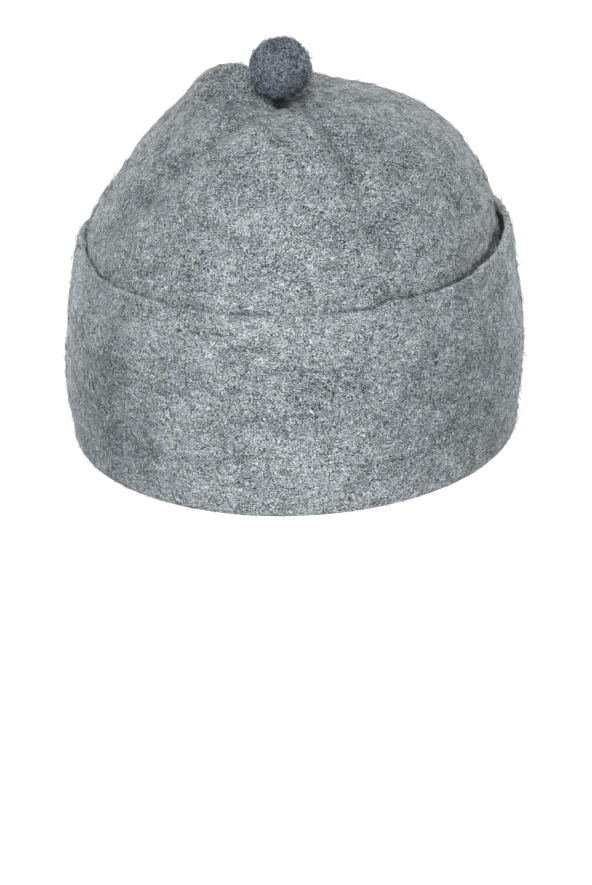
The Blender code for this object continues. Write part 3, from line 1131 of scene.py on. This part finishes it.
def joined_tubes(tubes):
    """Points, side faces and end faces of several closed tubes, one after the other."""
    starts = np.cumsum([0] + [rings.shape[0] * rings.shape[1] + 2 for rings in tubes])
    parts = [closed_parts(rings, start) for rings, start in zip(tubes, starts)]
    return [np.concatenate(part) for part in zip(*parts)]


def upright_spiral(centre, radii, angles, heights):
    """A path round an upright line: so far from it, at such angles and at such heights."""
    return centre + np.stack([radii * np.sin(angles), -radii * np.cos(angles), heights], axis=1)


def thread_tubes():
    """The wound thread: the winding as a helix, the core inside it, and stitches over the felt.

    The winding draws in and climbs evenly with its turns. A stitch runs out from it, bends evenly,
    rises by half a sine wave and dips by the cube of its share of the way.
    """
    low = THREAD_LOW.z
    high = BALL_CENTRE.z + BALL_LIFT - BALL_RADIUS + BALL_INSET + THREAD_SUNK
    centre = np.array([(THREAD_LOW.x + THREAD_HIGH.x) / 2, (THREAD_LOW.y + THREAD_HIGH.y) / 2, 0])
    low_radius = ((THREAD_HIGH.x - THREAD_LOW.x) / 2 - THREAD_RADIUS) * THREAD_DRAWN_IN
    high_radius = low_radius * THREAD_NARROWING
    share = np.linspace(0, 1, THREAD_POINTS)
    radius = low_radius + (high_radius - low_radius) * share
    height = low + THREAD_RADIUS + (high - low - 2 * THREAD_RADIUS) * share
    winding = upright_spiral(centre, radius, 2 * math.pi * THREAD_TURNS * share, height)
    still = np.zeros(CORE_RINGS)
    core = upright_spiral(centre, still, still, np.linspace(low, high, CORE_RINGS))
    core_radii = np.linspace(low_radius, high_radius, CORE_RINGS)
    tubes = [
        tube_rings(winding, np.full(THREAD_POINTS, THREAD_RADIUS), THREAD_CORNERS),
        tube_rings(core, core_radii, CORE_CORNERS),
    ]
    out = np.linspace(0, 1, STITCH_POINTS)
    rise = low + THREAD_RADIUS + STITCH_RISE * np.sin(math.pi * out) - STITCH_DIP * out ** 3
    stitch_radii = np.full(STITCH_POINTS, THREAD_RADIUS * STITCH_THICKNESS)
    for turn, reach in STITCHES:
        bend = math.radians(turn) + STITCH_BEND * out
        away = low_radius + (reach - low_radius) * out
        path = upright_spiral(centre, away, bend, rise)
        tubes.append(tube_rings(path, stitch_radii, THREAD_CORNERS))
    return tubes


class Strand:
    """A value in a material. Its operators add Math nodes, and node() adds any other node."""

    def __init__(self, tree, socket=None):
        self.tree = tree
        self.socket = socket

    def node(self, kind, settings=None, sockets=None, output=0):
        """Adds a node, sets its settings, then fills its sockets with values or links."""
        made = self.tree.nodes.new(kind)
        for name, value in (settings or {}).items():
            if name == "stops":
                self.fill_ramp(made.color_ramp, value)
            else:
                setattr(made, name, value)
        for key, value in (sockets or {}).items():
            if isinstance(value, Strand):
                self.tree.links.new(value.socket, made.inputs[key])
            else:
                made.inputs[key].default_value = value
        return Strand(self.tree, made.outputs[output] if len(made.outputs) else None)

    @staticmethod
    def fill_ramp(ramp, stops):
        """Gives a ramp its stops, each a place and a colour."""
        while len(ramp.elements) < len(stops):
            ramp.elements.new(0.5)
        for element, (place, colour) in zip(ramp.elements, stops):
            element.position = place
            element.color = (*colour, 1.0)

    def maths(self, operation, first, second):
        """One Math node on two values."""
        return self.node("ShaderNodeMath", {"operation": operation}, {0: first, 1: second})

    def __add__(self, other):
        return self.maths("ADD", self, other)

    def __radd__(self, other):
        return self.maths("ADD", other, self)

    def __sub__(self, other):
        return self.maths("SUBTRACT", self, other)

    def __rsub__(self, other):
        return self.maths("SUBTRACT", other, self)

    def __mul__(self, other):
        return self.maths("MULTIPLY", self, other)

    def __rmul__(self, other):
        return self.maths("MULTIPLY", other, self)

    def __abs__(self):
        return self.maths("ABSOLUTE", self, 0.0)

    def between(self, low, high):
        """0 at low and 1 at high, eased, and held at both ends."""
        return self.node("ShaderNodeMapRange", {"interpolation_type": "SMOOTHSTEP"},
                         {"Value": self, "From Min": low, "From Max": high})

    def moved(self, operation, vector):
        """This vector and another put through one Vector Math operation."""
        return self.node("ShaderNodeVectorMath", {"operation": operation}, {0: self, 1: vector})

    def noise(self, size, detail=2.0, roughness=0.5, shift=(0.0, 0.0, 0.0), output=0):
        """Noise over this vector, with features of a size in the vector's own units."""
        return self.node("ShaderNodeTexNoise", {"noise_dimensions": "3D"}, {
            "Vector": self.moved("ADD", shift), "Scale": 1.0 / size, "Detail": detail,
            "Roughness": roughness}, output)

    def attribute(self, name):
        """A value that the mesh keeps at each point."""
        return self.node("ShaderNodeAttribute", {"attribute_name": name}, output="Fac")

    def ramp(self, stops):
        """The colour of a ramp at this value."""
        return self.node("ShaderNodeValToRGB", {"stops": stops}, {"Fac": self})

    def tinted(self, share, tint):
        """This colour multiplied by a tint, as far as the share says."""
        return self.node("ShaderNodeMix", {"data_type": "RGBA", "blend_type": "MULTIPLY"},
                         {0: share, 6: self, 7: tint}, 2)

    def bump(self, strength, distance_mm):
        """The surface's direction, tilted by this value as a height."""
        return self.node("ShaderNodeBump", {}, {
            "Strength": strength, "Distance": distance_mm * MM, "Height": self})


def new_material(name):
    """An empty node material and the strand that adds to it."""
    material = bpy.data.materials.new(name)
    material.use_nodes = True
    material.node_tree.nodes.clear()
    return material, Strand(material.node_tree)


def finish_surface(strand, sockets):
    """The Principled surface with its sockets filled, led to the material's output."""
    surface = strand.node("ShaderNodeBsdfPrincipled", {}, sockets)
    strand.node("ShaderNodeOutputMaterial", {}, {"Surface": surface})


def wool_stops(colours):
    """A ramp from the dark over the middle to the pale wool."""
    return [(place, tuple(colour)) for place, colour in zip(RAMP_PLACES, colours)]


def place_in_mm(strand, stretch):
    """Object coordinates in mm, with Z drawn out so that patterns lie across."""
    place = strand.node("ShaderNodeTexCoord", output="Object")
    return place.moved("MULTIPLY", (1 / MM, 1 / MM, stretch / MM))


def line_of_wool(level, half_width):
    """1 along the middle value of a noise, with a share of the other tone on both sides of it."""
    away = abs(level - NOISE_MIDDLE)
    sides = away.between(LINE_SIDES * half_width, 0.0) * LINE_SIDE_SHARE
    return away.between(half_width, 0.0) - sides


def wool_noise(place, name, fineness=1.0, contrast=1.0):
    """A noise from the table: how far it is from its middle value, times its amount."""
    size, detail, roughness, shift, amount = WOOL_NOISES[name]
    noise = place.noise(size * fineness, detail, roughness, shift)
    return (noise - NOISE_MIDDLE) * (amount * contrast)


def wool_pattern(strand, stretch, fineness, contrast):
    """How pale the wool is at each place, about 0.5 on the whole.

    It sums curly pale and dark lines broken up by masks, a fine grain, clumps, the tone that the
    mesh keeps with its painted light and shade, and wide blotches.
    """
    place = place_in_mm(strand, stretch)
    warp = place.noise(WARP_SIZE * fineness, output="Color").moved("SUBTRACT", (NOISE_MIDDLE,) * 3)
    bent = place.moved("ADD", warp.moved("MULTIPLY", (WARP_REACH,) * 3))
    total = NOISE_MIDDLE
    for feature, half_width, mask_size, amount, shift in WOOL_LINES:
        moves = tuple(shift * way for way in LINE_SHIFT_WAY)
        level = bent.noise(feature * fineness, roughness=LINE_ROUGHNESS, shift=moves)
        mask = bent.noise(mask_size * fineness, detail=1.0, shift=moves[::-1]).between(*LINE_MASK)
        total = line_of_wool(level, half_width) * mask * (amount * contrast) + total
    total = wool_noise(bent, "grain", fineness, contrast) + total
    total = wool_noise(place, "clump") + total
    # The mesh's tone, with its painted light and shade
    total = strand.attribute(TONE_AND_PAINTED_SHADE_VALUE) + total
    return wool_noise(place, "blotch") + total, place


def wool_material(slot, colours, stretch, crease=False):
    """Felted wool: mottled colour from a ramp, a change of hue in clumps, and bump from the lines.

    With a crease, shade is painted in the gap behind the cuff's edge, down from a little above it.
    """
    material, strand = new_material(slot)
    fineness, contrast, sheen = WOOL_MIXES[slot]
    pattern, place = wool_pattern(strand, stretch, fineness, contrast)
    colour = pattern.ramp(wool_stops(colours))
    for size, shift, start, full, share, tint in WOOL_HUES:
        clumps = place.noise(size, shift=shift).between(start, full)
        colour = colour.tinted(clumps * share, tint)
    if crease:
        # Painted shade in the gap behind the cuff's edge
        gap = strand.attribute(EDGE_VALUE).between(GAP_START_HEIGHT, GAP_FULL_HEIGHT)
        colour = colour.tinted(gap * strand.attribute(PAINTED_SHADOW_VALUE), PAINTED_GAP_SHADE)
    finish_surface(strand, {
        "Base Color": colour, "Roughness": 0.92, "Specular IOR Level": 0.25,
        "Normal": pattern.bump(strength=0.7, distance_mm=0.35),
        "Sheen Weight": sheen, "Sheen Roughness": 0.45})
    return material


def fibre_material(name, colours):
    """Loose fibres: each takes its own tint between the dark and the pale wool."""
    material, strand = new_material(name)
    colour = strand.attribute(TINT_VALUE).ramp(wool_stops(colours))
    finish_surface(strand, {"Base Color": colour, "Roughness": 0.8, "Specular IOR Level": 0.3})
    return material


def thread_material(name, colour):
    """Twisted dark thread: fine ribs in its colour and in its surface."""
    material, strand = new_material(name)
    ribs = place_in_mm(strand, 1.0).noise(RIB_SIZE, roughness=RIB_ROUGHNESS)
    shades = [(place, tuple(share * part for part in colour)) for place, share in RIB_SHADES]
    finish_surface(strand, {
        "Base Color": ribs.ramp(shades), "Roughness": 0.75, "Specular IOR Level": 0.35,
        "Normal": ribs.bump(strength=0.6, distance_mm=0.1)})
    return material


def floor_material(name, colour, glow):
    """The floor's one even pale colour, which glows a little like a lit white table."""
    material, strand = new_material(name)
    finish_surface(strand, {
        "Base Color": (*colour, 1.0), "Roughness": 0.9, "Specular IOR Level": 0.2,
        "Emission Color": (1.0, 1.0, 1.0, 1.0), "Emission Strength": glow})
    return material


def area_light(name, place, size, power):
    """A square area light at a place in mm, aimed at the middle of the cap."""
    lamp = bpy.data.lights.new(name, "AREA")
    lamp.shape = "SQUARE"
    lamp.size = size * MM
    lamp.energy = power
    light = add_object(name, lamp)
    place = Vector(place) * MM
    aim = (Vector(TARGET) * MM - place).to_track_quat("-Z", "Y").to_matrix().to_4x4()
    light.matrix_world = Matrix.Translation(place) @ aim


def turned(first, second, angle):
    """Two headings at right angles, both turned in their plane, the first towards the second."""
    return (math.cos(angle) * first + math.sin(angle) * second,
            math.cos(angle) * second - math.sin(angle) * first)


def make_camera():
    """The camera at the photograph's angle and with its small roll.

    It stands back from the target by the cosine of its elevation and up by the sine, looks at the
    target, and is then turned in its place until the target lies at its own pixel.
    """
    elevation = math.radians(CAMERA_ELEVATION)
    back = Vector((0, -math.cos(elevation), math.sin(elevation)))
    place = Vector(TARGET) + back * CAMERA_DISTANCE
    forward = -back
    right = forward.cross(Vector((0, 0, 1))).normalized()
    right, up = turned(right, right.cross(forward), math.radians(CAMERA_ROLL))
    across = math.atan((TARGET_PIXEL[0] - IMAGE_WIDTH / 2) / FOCAL_PIXELS)
    above = math.atan((IMAGE_HEIGHT / 2 - TARGET_PIXEL[1]) / FOCAL_PIXELS)
    forward, right = turned(forward, right, -across)
    forward, up = turned(forward, up, -above)
    data = bpy.data.cameras.new("camera")
    data.sensor_fit = "VERTICAL"
    data.sensor_height = SENSOR
    data.sensor_width = SENSOR
    data.lens = FOCAL_PIXELS * SENSOR / IMAGE_HEIGHT
    data.clip_end = FURTHEST_SEEN
    camera = add_object("camera", data)
    facing = Matrix((right, up, -forward)).transposed().to_4x4()
    camera.matrix_world = Matrix.Translation(place * MM) @ facing
    bpy.context.scene.camera = camera


def flat_floor(width):
    """The plain floor: one level square just under the cap."""
    half = width / 2
    corners = [(-half, -half), (half, -half), (half, half), (-half, half)]
    points = [(x, y, -FLOOR_DROP * MM) for x, y in corners]
    mesh = bpy.data.meshes.new("floor")
    mesh.from_pydata(points, [], [(0, 1, 2, 3)])
    return add_object("floor", mesh)


class FELTCAP_OT_cap(bpy.types.Operator):
    """Build the felt cap's crown and cuff"""

    bl_idname = "felt_cap.cap"
    bl_label = "Felt Cap"

    def execute(self, context):
        felt = context.scene.felt_cap_felt
        grid, rows, tone = cap_surface(felt.thickness / MM)
        values = {
            EDGE_VALUE: height_over_edge(grid, rows),
            PAINTED_SHADOW_VALUE: edge_shadow(grid),
            TONE_AND_PAINTED_SHADE_VALUE: tone,
        }
        cap = closed_piece("felt_cap", grid, cap_map(grid, rows), values)
        colours = (felt.dark, felt.middle, felt.pale)
        # crease=True paints shade in the gap behind the cuff's edge
        cap.data.materials.append(wool_material("grey_felt", colours, felt.streak, crease=True))
        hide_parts("cap_body")
        return {"FINISHED"}


class FELTCAP_OT_cap_fibres(bpy.types.Operator):
    """Add the loose fibres of the crown, the cuff and the edges"""

    bl_idname = "felt_cap.cap_fibres"
    bl_label = "Cap Fibres"

    def execute(self, context):
        felt = context.scene.felt_cap_felt
        fibres = context.scene.felt_cap_fibres
        grid, rows, _ = cap_surface(felt.thickness / MM)
        stretches = {name: grid[first:last] for name, (first, last) in rows.items()}
        heights = stretches["crown"][:, :, 2].mean(axis=1)
        stretches["crown"] = stretches["crown"][:int(np.searchsorted(-heights, -CROWN_FIBRES_END))]
        first, last = rows["edge"]
        stretches["edge"] = grid[first - EDGE_FIBRES_PAST:last + EDGE_FIBRES_PAST]
        counts = {
            "crown_fibres": fibres.crown_count,
            "cuff_fibres": fibres.cuff_count,
            "rim_fibres": fibres.rim_count,
        }
        material = fibre_material("grey_fibre", (felt.dark, felt.middle, felt.pale))
        for name, count in counts.items():
            piece = fibre_piece(name, stretches, count,
                                fibres.length / MM, fibres.thickness / MM)
            piece.data.materials.append(material)
        return {"FINISHED"}


class FELTCAP_OT_ball(bpy.types.Operator):
    """Build the felted ball, its loose fibres and the wound thread under it"""

    bl_idname = "felt_cap.ball"
    bl_label = "Ball and Thread"

    def execute(self, context):
        look = context.scene.felt_cap_ball
        fibres = context.scene.felt_cap_fibres
        colours = (look.dark, look.middle, look.pale)
        grid, tone = ball_surface()
        ball = closed_piece("felt_ball", grid, ball_map(), {TONE_AND_PAINTED_SHADE_VALUE: tone})
        ball.data.materials.append(wool_material("slate_felt", colours, 1.0))
        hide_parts("top_ball")
        fuzz = fibre_piece("ball_fibres", {"ball": grid}, fibres.ball_count,
                           fibres.length / MM, fibres.thickness / MM * BALL_FIBRE_WIDTH)
        fuzz.data.materials.append(fibre_material("slate_fibre", colours))
        points, quads, fans = joined_tubes(thread_tubes())
        thread = new_piece("wound_thread", points, [quads, fans])
        thread.data.materials.append(thread_material("dark_thread", look.thread))
        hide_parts("ball_thread")
        return {"FINISHED"}


class FELTCAP_OT_stage(bpy.types.Operator):
    """Set the plain floor, the soft lights and the camera"""

    bl_idname = "felt_cap.stage"
    bl_label = "Stage"

    def execute(self, context):
        stage = context.scene.felt_cap_stage
        make_camera()
        floor = flat_floor(stage.floor_width)
        floor.data.materials.append(floor_material("floor", stage.floor_colour, stage.floor_glow))
        for name, place, size, power in LIGHTS:
            area_light(name, place, size, getattr(stage, power))
        world = bpy.data.worlds.new("surroundings")
        world.use_nodes = True
        strand = Strand(world.node_tree)
        world.node_tree.nodes.clear()
        seen = strand.node("ShaderNodeLightPath", output="Is Camera Ray")
        background = strand.node("ShaderNodeBackground", {}, {
            "Color": (1.0, 1.0, 1.0, 1.0),
            "Strength": seen * (1.0 - stage.surroundings) + stage.surroundings})
        strand.node("ShaderNodeOutputWorld", {}, {"Surface": background})
        context.scene.world = world
        context.scene.view_settings.view_transform = "Standard"
        return {"FINISHED"}


class FELTCAP_PT_panel(bpy.types.Panel):
    """Sidebar panel that lists the cap's pieces"""

    bl_idname = "FELTCAP_PT_panel"
    bl_label = "Felt Cap"
    bl_space_type = "VIEW_3D"
    bl_region_type = "UI"
    bl_category = "Felt Cap"

    def draw(self, context):
        for kind in OPERATORS:
            self.layout.operator(kind.bl_idname)


GROUPS = {
    "felt_cap_felt": FeltCapFelt,
    "felt_cap_ball": FeltCapBall,
    "felt_cap_fibres": FeltCapFibres,
    "felt_cap_stage": FeltCapStage,
}
OPERATORS = [FELTCAP_OT_stage, FELTCAP_OT_cap, FELTCAP_OT_cap_fibres, FELTCAP_OT_ball]


def register():
    """Registers the groups, the operators and the panel, and gives the scene its settings."""
    for kind in [*GROUPS.values(), *OPERATORS, FELTCAP_PT_panel]:
        bpy.utils.register_class(kind)
    for name, group in GROUPS.items():
        setattr(bpy.types.Scene, name, bpy.props.PointerProperty(type=group))


def unregister():
    """Takes away what register added."""
    for name in GROUPS:
        delattr(bpy.types.Scene, name)
    for kind in [FELTCAP_PT_panel, *reversed(OPERATORS), *reversed(GROUPS.values())]:
        bpy.utils.unregister_class(kind)


def main():
    """Registers the add-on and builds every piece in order."""
    register()
    bpy.ops.felt_cap.stage()
    bpy.ops.felt_cap.cap()
    bpy.ops.felt_cap.cap_fibres()
    bpy.ops.felt_cap.ball()


if __name__ == "__main__":
    main()
